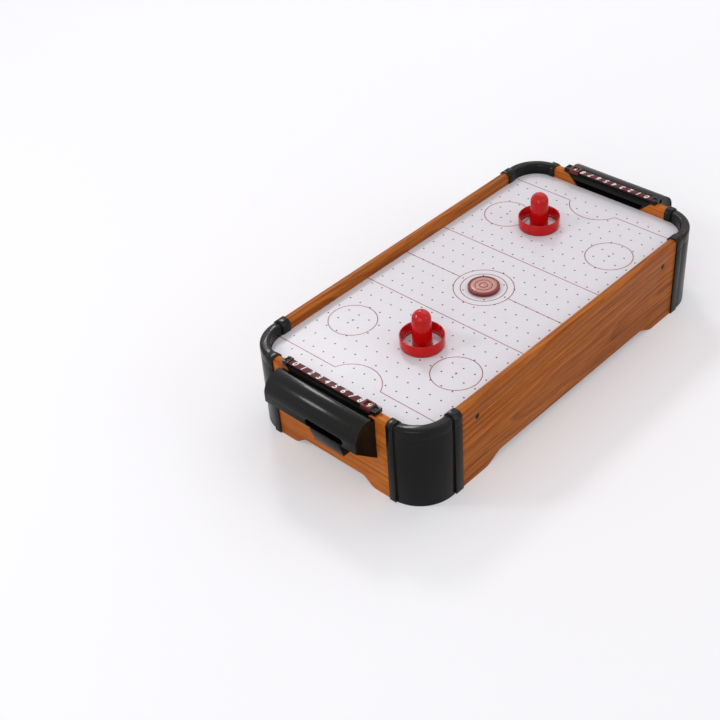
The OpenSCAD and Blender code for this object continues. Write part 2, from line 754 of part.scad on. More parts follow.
module catch_cup(side) {
    w = hood_wall - 0.2;
    lip_z = cup_z + cup_h;
    meet = 9;                                          // depth where the cheek's slope ends
    color(black) on_end(side) difference() {
        union() {
            for (sy = [-1, 1])
                translate([0, sy * (chute_w / 2 + w / 2), 0]) along_y(-w / 2, w / 2,
                    [[0, cup_z], [cup_foot_depth, cup_z], [cup_lip_depth, lip_z],
                     [meet, cup_cheek(meet)], [0, cup_cheek(0)]]);
            along_y(-chute_w / 2 - w, chute_w / 2 + w,
                [[0, cup_z], [cup_foot_depth, cup_z], [cup_lip_depth, lip_z],
                 [cup_lip_depth - w, lip_z], [cup_foot_depth - w * 0.8, cup_z + w], [w, cup_z + w],
                 [w, cup_z + cup_back_h], [0, cup_z + cup_back_h]]);
        }
        for (sy = [-1, 1]) translate([0, sy * cup_screw_y, cup_screw_z])
            rod_x(-eps, w + eps, screw_r + screw_clear);
    }
}

// ---------- score keepers ----------

// Closed outline across the rail, symmetric about the rail's middle
function across(points) = concat([for (p = points) [score_mid + p[0], p[1]]],
                                 [for (p = reversed(points)) [score_mid - p[0], p[1]]]);

module score_rail(side) {
    half = score_w / 2;
    head = half - score_inset;
    color(black) on_end(side) difference() {
        union() {
            along_y(-score_half, score_half, across([
                [half, frame_h], [half, score_neck_z], [head - score_undercut, score_neck_z],
                [head - score_undercut, score_head_z], [head, score_head_z],
                [head, score_head_top]]));
            for (sy = [-1, 1]) translate([score_mid - half, sy > 0 ? strip_half : -score_half, frame_h])
                cube([score_w, block_l, block_h]);
        }
        for (sy = [-1, 1]) translate([score_mid, sy * (score_half - block_l / 2), frame_h - eps]) {
            cylinder(r = screw_r + screw_clear, h = block_h + 2 * eps);
            translate([0, 0, eps + block_h - screw_head_t - 0.6])
                cylinder(r = score_head_r + screw_clear, h = screw_head_t + 0.6 + eps);
        }
    }
}

module number_strip(side)
    color(maroon) on_end(side)
        translate([score_mid - score_w / 2 + score_inset, -strip_half + seat_gap / 3, score_head_top])
            cube([score_w - 2 * score_inset, 2 * (strip_half - seat_gap / 3), strip_t]);

// Sliding window that wraps the rail; it stands over the last number
module score_slider(side) {
    head = score_w / 2 - score_inset;
    inside = head + seat_gap;
    outside = inside + slider_wall;
    hook = head - score_undercut + seat_gap;
    color(red) on_end(side) translate([0, 4.5 * score_pitch - slider_l / 2, 0]) difference() {
        along_y(0, slider_l, across([
            [hook, slider_low], [outside, slider_low], [outside, slider_roof + slider_top_t - 0.5],
            [outside - 0.5, slider_roof + slider_top_t]]));
        along_y(-eps, slider_l + eps, across([
            [hook, slider_low - eps], [hook, score_head_z - seat_gap],
            [inside, score_head_z - seat_gap], [inside, slider_roof]]));
        translate([score_mid - 4.2, 3, slider_roof - eps])
            cube([8.4, slider_l - 6, slider_top_t + 2 * eps]);
    }
}

// ---------- screws ----------

module door_screw()
    color("#8b8d90") translate([battery_x + door_screw_x, 0, panel_z - screw_head_t]) {
        cylinder(r = door_screw_r, h = screw_head_t + door_t + door_boss_h - 1);
        cylinder(r = 2 * door_screw_r, h = screw_head_t);
    }

module side_screws()
    color("#151515") for (turn = [0, 180], sx = [-1, 1]) rotate([0, 0, turn])
        translate([sx * batten_screw_x, half_w, batten_mid]) rotate([0, 0, 90])
            screw_x(batten_screw_l);

module hood_screws()
    color("#8b8d90") for (side = [-1, 1]) on_end(side) for (sy = [-1, 1]) {
        for (z = hood_boss_z) translate([-board_t - screw_head_t, sy * hood_boss_y, z])
            rotate([0, 0, 180]) screw_x(board_t + screw_head_t + boss_l - 3);
        translate([-board_t - screw_head_t, sy * cup_screw_y, cup_screw_z])
            rotate([0, 0, 180]) screw_x(board_t + screw_head_t + hood_wall - 0.2);
    }

module score_screws()
    color("#3a3b3d") for (side = [-1, 1]) on_end(side) for (sy = [-1, 1])
        translate([score_mid, sy * (score_half - block_l / 2), frame_h - score_screw_bite]) {
            cylinder(r = screw_r, h = score_screw_bite + block_h - screw_head_t);
            translate([0, 0, score_screw_bite + block_h - screw_head_t - 0.4])
                cylinder(r = score_head_r, h = screw_head_t - 0.4);
        }

module panel_screws()
    color("#8b8d90") for (a = [45:90:315]) rotate([0, 0, a])
        translate([fan_screw_r, 0, panel_z - guard_t]) {
            cylinder(r = screw_r, h = guard_t + panel_t + fan_flange_t);
            translate([0, 0, guard_t + panel_t + fan_flange_t]) cylinder(r = screw_head_r, h = 2);
        }

// ---------- pieces on the playfield ----------

// Handle and rim in one moulding, joined by two low spokes, hollow below
module pusher(at) {
    z0 = field_z + felt_t;
    inner = handle_r - 2;
    color(red) translate([at[0], at[1], z0]) {
        rotate_extrude() polygon(concat(
            [[pusher_r - felt_w, 0], [pusher_r, 0], [pusher_r + 0.3, 1], [pusher_r + 0.5, pusher_rim_h - 0.8]],
            arc(pusher_r + 0.5 - pusher_wall / 2, pusher_rim_h - 0.8, pusher_wall / 2, 0, 180, 4),
            [[pusher_r + 0.3 - pusher_wall, 2.4], [pusher_r - felt_w, 2]]));
        rotate_extrude() polygon(concat(
            [[inner, 0], [handle_r + 0.8, 0], [handle_r + 0.4, 3], [handle_r, pusher_h - handle_r]],
            arc(0, pusher_h - handle_r, handle_r, 15, 90, 6),
            arc(0, pusher_h - handle_r, inner, 90, 0, 6)));
        rotate([0, 0, spoke_turn]) for (s = [-1, 1])
            translate([s > 0 ? handle_r - 1 : -pusher_r + pusher_wall, -spoke_w / 2, 0])
                cube([pusher_r - pusher_wall - handle_r + 1, spoke_w, spoke_t]);
    }
}

module pusher_felt(at)
    color("#222222") translate([at[0], at[1], field_z]) difference() {
        cylinder(r = pusher_r - 0.2, h = felt_t);
        translate([0, 0, -eps]) cylinder(r = pusher_r - felt_w + 0.2, h = felt_t + 2 * eps);
    }

// Puck with the same shallow rings on both faces
module puck() {
    groove = 0.35;
    rim = 0.7;
    half = puck_t / 2;
    rings = [[5, 6], [11.3, 12.3], [18, 19.6]];
    function face() = concat([[0, half]],
        [for (r = rings) each [[r[0], half], [r[0], half - groove], [r[1], half - groove], [r[1], half]]],
        [[puck_r - rim, half], [puck_r, half - rim]]);
    function flipped(points) = [for (i = [len(points) - 1:-1:0]) [points[i][0], -points[i][1]]];
    color(red) translate([puck_at[0], puck_at[1], field_z + half + 0.2])
        rotate_extrude() polygon(concat(face(), flipped(face())));
}

side_board(-1);  // front_side_board
side_board(1);  // rear_side_board
end_board(-1);  // left_end_board
end_board(1);  // right_end_board
corner_cover(-1, -1);  // front_left_cover
corner_cover(1, -1);  // front_right_cover
corner_cover(1, 1);  // rear_right_cover
corner_cover(-1, 1);  // rear_left_cover
playfield();
field_batten_side(-1);  // front_field_batten
field_batten_side(1);  // rear_field_batten
field_batten_end(-1);  // left_field_batten
field_batten_end(1);  // right_field_batten
floor_batten(-1);  // front_floor_batten
floor_batten(1);  // rear_floor_batten
bottom_panel();
field_post(-1);  // left_field_post
field_post(1);  // right_field_post
fan_housing();
fan_motor();
motor_shaft();
fan_impeller();
fan_guard();
battery_box();
battery_door();
battery_cells();
battery_contacts();
switch_housing();
switch_rocker();
power_leads();
goal_lining(-1);  // left_goal_lining
goal_lining(1);  // right_goal_lining
goal_hood(-1);  // left_goal_hood
goal_hood(1);  // right_goal_hood
catch_cup(-1);  // left_catch_cup
catch_cup(1);  // right_catch_cup
score_rail(-1);  // left_score_rail
score_rail(1);  // right_score_rail
number_strip(-1);  // left_number_strip
number_strip(1);  // right_number_strip
score_slider(-1);  // left_score_slider
score_slider(1);  // right_score_slider
side_screws();
hood_screws();
score_screws();
panel_screws();
door_screw();
pusher(pusher_at[0]);  // left_pusher
pusher(pusher_at[1]);  // right_pusher
pusher_felt(pusher_at[0]);  // left_pusher_felt
pusher_felt(pusher_at[1]);  // right_pusher_felt
puck();
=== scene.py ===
import json
import math

import bmesh
import bpy
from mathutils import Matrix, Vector

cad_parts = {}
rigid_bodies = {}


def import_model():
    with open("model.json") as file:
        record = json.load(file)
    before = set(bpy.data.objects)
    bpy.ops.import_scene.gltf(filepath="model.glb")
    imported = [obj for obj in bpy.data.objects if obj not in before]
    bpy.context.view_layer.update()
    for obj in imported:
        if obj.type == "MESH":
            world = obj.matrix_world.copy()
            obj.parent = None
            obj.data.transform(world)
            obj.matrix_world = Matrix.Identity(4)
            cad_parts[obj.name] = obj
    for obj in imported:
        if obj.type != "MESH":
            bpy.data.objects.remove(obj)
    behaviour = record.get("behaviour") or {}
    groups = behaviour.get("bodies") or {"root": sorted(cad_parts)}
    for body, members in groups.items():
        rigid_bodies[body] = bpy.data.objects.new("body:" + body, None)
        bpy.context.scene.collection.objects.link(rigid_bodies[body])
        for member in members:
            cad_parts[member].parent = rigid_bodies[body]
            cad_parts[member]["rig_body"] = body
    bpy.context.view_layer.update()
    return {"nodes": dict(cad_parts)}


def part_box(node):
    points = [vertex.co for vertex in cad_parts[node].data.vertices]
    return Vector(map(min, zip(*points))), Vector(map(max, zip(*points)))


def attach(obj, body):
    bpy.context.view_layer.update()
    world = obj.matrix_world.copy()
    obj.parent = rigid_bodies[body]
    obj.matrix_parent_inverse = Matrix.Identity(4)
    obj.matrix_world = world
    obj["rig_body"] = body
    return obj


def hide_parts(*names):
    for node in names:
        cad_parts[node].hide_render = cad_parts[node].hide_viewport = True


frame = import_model()

bl_info = {
    "name": "Tabletop Air Hockey Table",
    "version": (1, 0, 0),
    "blender": (4, 5, 0),
    "location": "3D View > Sidebar > Air Hockey",
    "description": "Dresses the table's frame, playfield, goals, score keepers, pushers and puck",
    "category": "Object",
}

MM = 0.001
SIDES = ("left", "right")
CORNERS = ("front_left", "front_right", "rear_right", "rear_left")
SHARP_TURN = math.radians(32)     # edges that turn more are rounded
SMOOTH_TURN = math.radians(34)    # edges that turn less are shaded smooth


# ---------- settings ----------

def length(label, description, value):
    """A setting that is a length, shown in the scene's units."""
    return bpy.props.FloatProperty(
        name=label, description=description, default=value, min=0.0, unit="LENGTH", precision=5)


def colour(label, description, value):
    """A setting that is a colour."""
    return bpy.props.FloatVectorProperty(
        name=label, description=description, default=value, size=3, min=0.0, max=1.0, subtype="COLOR")


class AirTableSizes(bpy.types.PropertyGroup):
    """Sizes and places of what is dressed or modelled here."""
    board_edge: length("Board edge", "Rounding of the wood boards' edges", 0.5 * MM)
    moulded_edge: length("Moulded edge", "Rounding of the black mouldings' edges", 0.45 * MM)
    small_edge: length("Small edge", "Rounding of the small parts' edges", 0.25 * MM)
    fine_edge: length("Fine edge", "Rounding of the number strips and the puck's rings", 0.15 * MM)
    screw_edge: length("Screw edge", "Rounding of the screws and the bottom panel", 0.3 * MM)
    hood_edge: length("Hood edge", "Rounding of the hoods' edges", 0.55 * MM)
    pocket_edge: length("Pocket edge", "Rounding of the pockets' edges", 0.4 * MM)
    pusher_edge: length("Pusher edge", "Rounding of the pushers' edges", 0.4 * MM)
    felt_edge: length("Felt edge", "Rounding of the felt rings' edges", 0.2 * MM)
    line_width: length("Line width", "Width of the printed lines", 1.4 * MM)
    zone_line: length("Zone line", "Distance of the zone lines from the centre line", 81.7 * MM)
    goal_line: length("Goal line", "Distance of the goal lines from the centre line", 253 * MM)
    centre_ring: length("Centre ring", "Radius of the outer centre circle", 41.8 * MM)
    inner_ring: length("Inner ring", "Radius of the inner centre circle", 32 * MM)
    spot_ring: length("Face-off ring", "Radius of the face-off circles", 33.4 * MM)
    spot_dot: length("Face-off dot", "Radius of the face-off dots", 1.7 * MM)
    crease_ring: length("Crease", "Radius of the goal creases", 42.4 * MM)
    hood_low: length("Hood foot", "Lowest edge of the hoods, at the boards", 57.5 * MM)
    hood_front: length("Hood front", "Foot of the hoods' front skin", 88.5 * MM)
    hood_radius: length("Hood radius", "Radius of the hoods' rounded front", 25 * MM)
    hood_wall: length("Hood wall", "Thickness of the hoods", 2.2 * MM)
    ledge_depth: length("Ledge depth", "Depth of the ledge behind the hoods' raised top", 6 * MM)
    ledge_drop: length("Ledge drop", "Drop of that ledge", 4.5 * MM)
    pocket_offset: length("Pocket offset", "Distance of the pockets from the middle line", 25 * MM)
    pocket_half: length("Pocket half width", "Half of the pockets' outside width", 25.2 * MM)
    pocket_wall: length("Pocket wall", "Thickness of the pockets", 2 * MM)
    pocket_floor: length("Pocket floor", "Underside of the pockets", 63.5 * MM)
    pocket_flange: length("Pocket flange", "Height of the pockets' flange at the board", 9 * MM)
    pocket_lip: length("Pocket lip", "Height of the pockets' lip", 86 * MM)
    pocket_lean: length("Pocket lean", "How far the pockets' front leans out", 7 * MM)
    mouth_height: length("Mouth height", "Height of the opening over the pockets", 11.5 * MM)
    mouth_flare: length("Mouth flare", "Spread of that opening on each side", 5.7 * MM)
    # Painted shade: radius of the dark ring round each air hole, which stands for the shade at the hole's
    # edge.
    hole_rim: length("Air hole rim", "Radius of the dark rims of the air holes", 1.5 * MM)
    hole_pitch: bpy.props.FloatVectorProperty(
        name="Air hole pitch", description="Spacing of the air holes along and across",
        default=(21.8 * MM, 18.25 * MM), size=2, subtype="XYZ", unit="LENGTH")
    hole_counts: bpy.props.IntVectorProperty(
        name="Air hole counts", description="Air holes along and across one quarter of the playfield",
        default=(12, 7), size=2, min=1)
    digit_height: length("Digit height", "Height of the numbers on the score strips", 8.2 * MM)
    digit_relief: length("Digit relief", "How far the numbers stand proud of the strips", 0.03 * MM)
    spot_place: bpy.props.FloatVectorProperty(
        name="Face-off place", description="Place of a face-off dot in one quarter of the playfield",
        default=(166 * MM, 90 * MM), size=2, subtype="XYZ", unit="LENGTH")
    crease_centre: length("Crease centre", "Distance of the creases' centres from the centre line",
                          268.4 * MM)


class AirTableColours(bpy.types.PropertyGroup):
    """Colours of the finishes."""
    wood_light: colour("Light wood", "Pale grain of the laminate", (0.66, 0.20, 0.027))
    wood_dark: colour("Dark wood", "Dark grain of the laminate", (0.20, 0.040, 0.004))
    black: colour("Black plastic", "Corner covers, hoods, cups and rails", (0.0062, 0.0062, 0.0056))
    field: colour("Playfield", "Surface of the playfield", (0.765, 0.738, 0.785))
    print: colour("Printed lines", "Lines and circles on the playfield", (0.28, 0.034, 0.036))
    # Painted shade: the holes' walls are given this dark colour to stand for the shade down in the holes.
    hole: colour("Air holes", "Walls of the air holes", (0.05, 0.05, 0.055))
    red: colour("Pushers", "Glossy red of the pushers", (0.56, 0.004, 0.005))
    maroon: colour("Number strip", "Strip under the numbers", (0.105, 0.014, 0.016))
    window: colour("Window", "Sliding window of the score keeper", (0.15, 0.018, 0.02))
    puck_side: colour("Puck", "Side and rings of the puck", (0.19, 0.014, 0.013))
    puck_top: colour("Puck top", "Pale top of the puck", (0.60, 0.30, 0.26))
    digit: colour("Digits", "Numbers on the score strips", (0.86, 0.84, 0.84))
    pine: colour("Battens", "Sawn wood inside the table", (0.60, 0.38, 0.19))
    panel: colour("Bottom panel", "Pressed board", (0.20, 0.115, 0.06))
    dark_grey: colour("Fan parts", "Moulded fan and battery parts", (0.032, 0.034, 0.037))
    steel: colour("Steel", "Screws, shaft and motor can", (0.55, 0.55, 0.57))
    floor: colour("Floor", "Plain floor", (0.93, 0.92, 0.95))


# ---------- modelling helpers ----------

def clear():
    """Object mode with nothing selected."""
    if bpy.context.object and bpy.context.object.mode != "OBJECT":
        bpy.ops.object.mode_set(mode="OBJECT")
    bpy.ops.object.select_all(action="DESELECT")


def hold(piece):
    """Selects one piece and makes it active."""
    clear()
    piece.select_set(True)
    bpy.context.view_layer.objects.active = piece


def edit(piece, action):
    """Runs action in edit mode with all of the piece selected."""
    hold(piece)
    bpy.ops.object.mode_set(mode="EDIT")
    bpy.ops.mesh.select_all(action="SELECT")
    action()
    bpy.ops.object.mode_set(mode="OBJECT")


def choose_faces(piece, test):
    """In edit mode, selects the faces whose corners all pass the test, and nothing else."""
    mesh = bmesh.from_edit_mesh(piece.data)
    bpy.ops.mesh.select_all(action="DESELECT")
    bpy.ops.mesh.select_mode(type="FACE")
    for face in mesh.faces:
        face.select_set(all(test(vertex.co) for vertex in face.verts))
    mesh.select_flush_mode()
    bmesh.update_edit_mesh(piece.data)


def round_edges(piece, width, segments, clamp):
    """Rounds the edges at which a piece turns sharply."""
    hold(piece)
    bevel = piece.modifiers.new("Rounded edges", "BEVEL")
    bevel.width = width
    bevel.segments = segments
    bevel.limit_method = "ANGLE"
    bevel.angle_limit = SHARP_TURN
    bevel.use_clamp_overlap = clamp
    bpy.ops.object.modifier_apply(modifier=bevel.name)


def smooth(piece):
    """Shades a piece smooth between its sharp edges."""
    hold(piece)
    bpy.ops.object.shade_smooth_by_angle(angle=SMOOTH_TURN)


def settle(piece, name, body, material, stands_for=()):
    """Gives a finished piece its name, body and material, and hides the nodes it stands for."""
    hold(piece)
    bpy.ops.object.transform_apply(location=True, rotation=True, scale=True)
    piece.name = name
    piece.data.name = name
    piece.data.materials.clear()
    piece.data.materials.append(material)
    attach(piece, body)
    if stands_for:
        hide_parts(*stands_for)
    return piece


def join(pieces):
    """Makes one piece of several."""
    hold(pieces[0])
    for piece in pieces:
        piece.select_set(True)
    bpy.ops.object.join()
    return bpy.context.active_object


def node_copy(node):
    """A copy of a CAD node's mesh, merged and with its flat faces made whole."""
    piece = bpy.data.objects.new(node + "_copy", frame["nodes"][node].data.copy())
    bpy.context.scene.collection.objects.link(piece)

    def mend():
        bpy.ops.mesh.remove_doubles(threshold=2e-6)
        bpy.ops.mesh.dissolve_limited(angle_limit=math.radians(0.6))
    edit(piece, mend)
    return piece


def finish(piece, node, width, material, segments=2, clamp=True):
    """Rounds the edges of a piece, which then stands for the node."""
    round_edges(piece, width, segments, clamp)
    smooth(piece)
    return settle(piece, node + "_finish", frame["nodes"][node]["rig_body"], material, [node])


def dress(node, width, material, segments=2, clamp=True):
    """A copy of a CAD node with its edges rounded, which stands for the node."""
    return finish(node_copy(node), node, width, material, segments, clamp)


def paint(node, material):
    """Gives a CAD node that shows as it is a new material."""
    piece = frame["nodes"][node]
    for place in piece.material_slots:
        place.material = material


def outline_piece(points):
    """A closed ring of edges through the points."""
    clear()
    bpy.ops.mesh.primitive_circle_add(vertices=len(points), radius=0.01)
    piece = bpy.context.active_object
    for vertex, point in zip(piece.data.vertices, points):
        vertex.co = point
    return piece


def prism(outline, step):
    """A closed outline of points drawn out by the step."""
    piece = outline_piece(outline)

    def draw_out():
        bpy.ops.mesh.edge_face_add()
        bpy.ops.mesh.extrude_region_move(TRANSFORM_OT_translate={"value": step})
        bpy.ops.mesh.select_all(action="SELECT")
        bpy.ops.mesh.normals_make_consistent(inside=False)
    edit(piece, draw_out)
    return piece


def block(low, high):
    """A box between two corners."""
    clear()
    bpy.ops.mesh.primitive_cube_add(size=1.0, location=[(a + b) / 2 for a, b in zip(low, high)])
    piece = bpy.context.active_object
    piece.scale = [b - a for a, b in zip(low, high)]
    bpy.ops.object.transform_apply(location=True, rotation=True, scale=True)
    return piece


def combine(piece, tool, operation="DIFFERENCE"):
    """Cuts the tool out of the piece, adds it or keeps what they share, and deletes the tool."""
    hold(piece)
    boolean = piece.modifiers.new("Combine", "BOOLEAN")
    boolean.operation = operation
    boolean.solver = "EXACT"
    boolean.object = tool
    bpy.ops.object.modifier_apply(modifier=boolean.name)
    bpy.data.objects.remove(tool)
    return piece


def turned_copy(piece):
    """A copy with its own mesh, turned half round the table's upright axis."""
    clear()
    twin = piece.copy()
    twin.data = piece.data.copy()
    bpy.context.scene.collection.objects.link(twin)
    twin.rotation_euler = (0, 0, math.pi)
    return twin


def arc(centre, radius, start, end, steps):
    """Points (across, up) on an arc, its angles in degrees."""
    angles = [math.radians(start + (end - start) * i / steps) for i in range(steps + 1)]
    return [(centre[0] + radius * math.cos(a), centre[1] + radius * math.sin(a)) for a in angles]


# ---------- material helpers ----------

class Shader:
    """A new material with short ways to add and join nodes. Sockets or plain numbers go in."""

    def __init__(self, name, **values):
        self.material = bpy.data.materials.new(name)
        self.material.use_nodes = True
        self.tree = self.material.node_tree
        self.surface = self.tree.nodes["Principled BSDF"]
        self.place = self.node("ShaderNodeTexCoord").outputs["Object"]
        self.set(**values)

    def set(self, **values):
        for name, value in values.items():
            self.feed(self.surface.inputs[name.replace("_", " ")], value)

    def feed(self, socket, value):
        if isinstance(value, bpy.types.NodeSocket):
            self.tree.links.new(value, socket)
        elif socket.type == "RGBA" and len(value) == 3:
            socket.default_value = (*value, 1.0)
        else:
            socket.default_value = value

    def node(self, kind, inputs=(), **settings):
        made = self.tree.nodes.new(kind)
        for name, value in settings.items():
            setattr(made, name, value)
        for name, value in dict(inputs).items():
            self.feed(made.inputs[name], value)
        return made

    def math(self, operation, *values):
        made = self.node("ShaderNodeMath", operation=operation)
        for socket, value in zip(made.inputs, values):
            self.feed(socket, value)
        return made.outputs[0]

    def mapped(self, scale=(1, 1, 1), turn=(0, 0, 0), move=(0, 0, 0), source=None):
        return self.node("ShaderNodeMapping", {
            "Vector": source or self.place, "Scale": scale, "Rotation": turn, "Location": move,
        }).outputs[0]

    def noise(self, scale, source=None, detail=4.0, roughness=0.5):
        return self.node("ShaderNodeTexNoise", {
            "Vector": source or self.place, "Scale": scale, "Detail": detail, "Roughness": roughness,
        }).outputs[0]

    def ramp(self, value, stops):
        made = self.node("ShaderNodeValToRGB", {"Fac": value})
        while len(made.color_ramp.elements) < len(stops):
            made.color_ramp.elements.new(0.5)
        for element, (at, shade) in zip(made.color_ramp.elements, stops):
            element.position = at
            element.color = (*shade, 1.0) if hasattr(shade, "__len__") else (shade, shade, shade, 1.0)
        return made.outputs[0]

    def mix(self, factor, first, second, blend="MIX"):
        made = self.node("ShaderNodeMix", data_type="RGBA", blend_type=blend)
        self.feed(made.inputs[0], factor)
        self.feed(made.inputs[6], first)
        self.feed(made.inputs[7], second)
        return made.outputs[2]

    def spread(self, value, low, high):
        return self.node("ShaderNodeMapRange", {
            "Value": value, "To Min": low, "To Max": high}).outputs[0]

    def bump(self, height, depth, strength=1.0):
        self.set(Normal=self.node("ShaderNodeBump", {
            "Height": height, "Distance": depth, "Strength": strength}).outputs[0])


def shade(colour_value, factor):
    """The colour made lighter or darker."""
    return tuple(min(1.0, c * factor) for c in colour_value)


_made = {}


def material(kind):
    """The finish of that kind, made once."""
    if kind not in _made:
        colours = bpy.context.scene.air_table_colours
        _made[kind] = FINISHES[kind](colours)
    return _made[kind]


# ---------- finishes ----------

def laminate(name, light, dark, along_y=False, cut=(0.0, 0.0), tilt=2.2):
    """Woodgrain: growth rings round a tilted pith, streaks and pores, all along the board."""
    s = Shader(name, Specular_IOR_Level=0.12)
    rings_per_metre = 118.0
    turn = (0, 0, math.radians(-90)) if along_y else (0, 0, 0)
    grain = s.mapped(turn=turn)
    tilted = s.mapped(turn=(0, math.radians(tilt), math.radians(0.7 * tilt)), source=grain)
    drift = s.noise(1.0, s.mapped(scale=(4.0, 14.0, 14.0), source=tilted), detail=2.0)
    parts = s.node("ShaderNodeSeparateXYZ", {"Vector": tilted}).outputs
    wander = s.spread(drift, -0.022, 0.022)
    across = s.math("ADD", s.math("ADD", parts[1], cut[0]), wander)
    up = s.math("ADD", parts[2], cut[1])
    radius = s.math("SQRT", s.math("ADD", s.math("MULTIPLY", across, across),
                                   s.math("MULTIPLY", up, up)))
    ring = s.math("FRACT", s.math("MULTIPLY", radius, rings_per_metre))
    soft = s.ramp(ring, [(0.0, 0.25), (0.55, 0.62), (0.86, 0.95), (1.0, 0.25)])
    streak = s.noise(1.0, s.mapped(scale=(7.0, 330.0, 330.0), source=grain), detail=6.0, roughness=0.62)
    pores = s.noise(1.0, s.mapped(scale=(60.0, 1500.0, 1500.0), source=grain), detail=2.0)
    patch = s.noise(1.0, s.mapped(scale=(3.0, 9.0, 9.0), source=grain), detail=2.0)
    tone = s.math("ADD", s.math("MULTIPLY", soft, 0.20), s.math("MULTIPLY", streak, 0.74))
    tone = s.math("ADD", tone, s.math("MULTIPLY", patch, 0.20))
    between = tuple((a + b) / 2 for a, b in zip(light, dark))
    base = s.ramp(tone, [(0.33, light), (0.56, between), (0.80, dark)])
    speck = s.ramp(pores, [(0.34, 0.45), (0.44, 1.0)])
    s.set(Base_Color=s.mix(0.55, base, speck, "MULTIPLY"),
          Roughness=s.spread(streak, 0.34, 0.50))
    s.bump(s.math("ADD", streak, pores), 0.00004, 0.5)
    return s.material


def moulded(name, tint, low=0.30, high=0.42, grain=1400.0, depth=0.00003, coat=0.0, gloss=0.4):
    """Moulded plastic: a fine grain, faint flow marks and uneven gloss."""
    s = Shader(name, Coat_Weight=coat, Coat_Roughness=0.05, Specular_IOR_Level=gloss)
    flow = s.noise(9.0, detail=3.0)
    fine = s.noise(grain, detail=2.0)
    smudge = s.noise(55.0, detail=5.0, roughness=0.6)
    s.set(Base_Color=s.mix(s.spread(flow, 0.0, 1.0), shade(tint, 0.88), shade(tint, 1.12)),
          Roughness=s.spread(s.math("ADD", s.math("MULTIPLY", smudge, 0.7),
                                    s.math("MULTIPLY", fine, 0.3)), low, high))
    s.bump(fine, depth, 0.6)
    return s.material


def printed_field(colours):
    """White playfield with its printed lines, circles, dots and creases; the holes' walls and a ring
    round each hole are painted shade.
    """
    sizes = bpy.context.scene.air_table_sizes
    s = Shader("playfield_print", Coat_Weight=0.04, Coat_Roughness=0.10, Specular_IOR_Level=0.22)
    axes = s.node("ShaderNodeSeparateXYZ", {"Vector": s.place}).outputs
    x, y = s.math("ABSOLUTE", axes[0]), s.math("ABSOLUTE", axes[1])
    half = sizes.line_width / 2
    pitch, counts = sizes.hole_pitch, sizes.hole_counts

    def near(value, at):
        return s.math("LESS_THAN", s.math("ABSOLUTE", s.math("SUBTRACT", value, at)), half)

    def distance(cx, cy):
        dx, dy = s.math("SUBTRACT", x, cx), s.math("SUBTRACT", y, cy)
        return s.math("SQRT", s.math("ADD", s.math("MULTIPLY", dx, dx), s.math("MULTIPLY", dy, dy)))

    def off_centre(value, spacing):
        return s.math("SUBTRACT", value, s.math("SNAP", s.math("ADD", value, spacing / 2), spacing))

    def past(value, spacing, count):
        return s.math("GREATER_THAN", value, (count - 0.5) * spacing)

    middle = distance(0.0, 0.0)
    spot = distance(*sizes.spot_place)
    crease = distance(sizes.crease_centre, 0.0)
    marks = [
        s.math("MULTIPLY", near(x, 0.0), s.math("GREATER_THAN", middle, sizes.centre_ring)),
        near(x, sizes.zone_line),
        s.math("MULTIPLY", near(x, sizes.goal_line), s.math("GREATER_THAN", crease, sizes.crease_ring)),
        near(middle, sizes.centre_ring),
        near(middle, sizes.inner_ring),
        near(spot, sizes.spot_ring),
        s.math("LESS_THAN", spot, sizes.spot_dot),
        s.math("MULTIPLY", near(crease, sizes.crease_ring), s.math("LESS_THAN", x, sizes.goal_line)),
    ]
    ink = marks[0]
    for mark in marks[1:]:
        ink = s.math("MAXIMUM", ink, mark)
    worn = s.ramp(s.noise(420.0, detail=3.0), [(0.25, 0.72), (0.5, 1.0)])
    mottle = s.noise(6.0, detail=4.0, roughness=0.6)
    ground = s.mix(mottle, shade(colours.field, 0.99), shade(colours.field, 1.01))
    from_hole = s.node("ShaderNodeCombineXYZ", {
        "X": off_centre(x, pitch[0]), "Y": off_centre(y, pitch[1])}).outputs[0]
    off_hole = s.node("ShaderNodeVectorMath", {0: from_hole}, operation="LENGTH").outputs["Value"]
    # A dark ring round each hole is painted shade for the shade at the hole's edge; it is left out where
    # there are no holes.
    rim = s.ramp(s.math("DIVIDE", off_hole, sizes.hole_rim), [(0.0, 1.0), (0.62, 1.0), (1.0, 0.0)])
    corner = s.math("MULTIPLY", past(x, pitch[0], counts[0]), past(y, pitch[1], counts[1]))
    outer = s.math("MAXIMUM", past(x, pitch[0], counts[0] + 1), corner)
    rim = s.math("MULTIPLY", rim, s.math("SUBTRACT", 1.0, outer))
    # Faces that are not flat, the holes' walls, are coloured dark as painted shade.
    upright = s.node("ShaderNodeNewGeometry").outputs["Normal"]
    flat = s.math("GREATER_THAN", s.node("ShaderNodeSeparateXYZ", {"Vector": upright}).outputs[2], 0.5)
    inked = s.mix(s.math("MULTIPLY", ink, s.math("MULTIPLY", worn, 0.92)), ground, colours.print)
    s.set(Base_Color=s.mix(flat, colours.hole, s.mix(rim, inked, colours.hole)),
          Roughness=s.spread(s.noise(60.0, detail=4.0), 0.22, 0.36))
    s.bump(s.noise(900.0, detail=2.0), 0.00002, 0.4)
    return s.material


def pine(colours):
    """Plain sawn wood of the battens and posts."""
    return laminate("sawn_pine", colours.pine, shade(colours.pine, 0.62), cut=(0.02, -0.05))


def pressed_board(colours):
    """Brown board of pressed fibres."""
    s = Shader("pressed_board", Roughness=0.7)
    fibre = s.noise(900.0, s.mapped(scale=(1.0, 0.45, 1.0)), detail=6.0, roughness=0.7)
    s.set(Base_Color=s.ramp(fibre, [(0.3, shade(colours.panel, 0.55)), (0.55, colours.panel),
                                    (0.75, shade(colours.panel, 1.6))]))
    s.bump(fibre, 0.00012, 0.8)
    return s.material


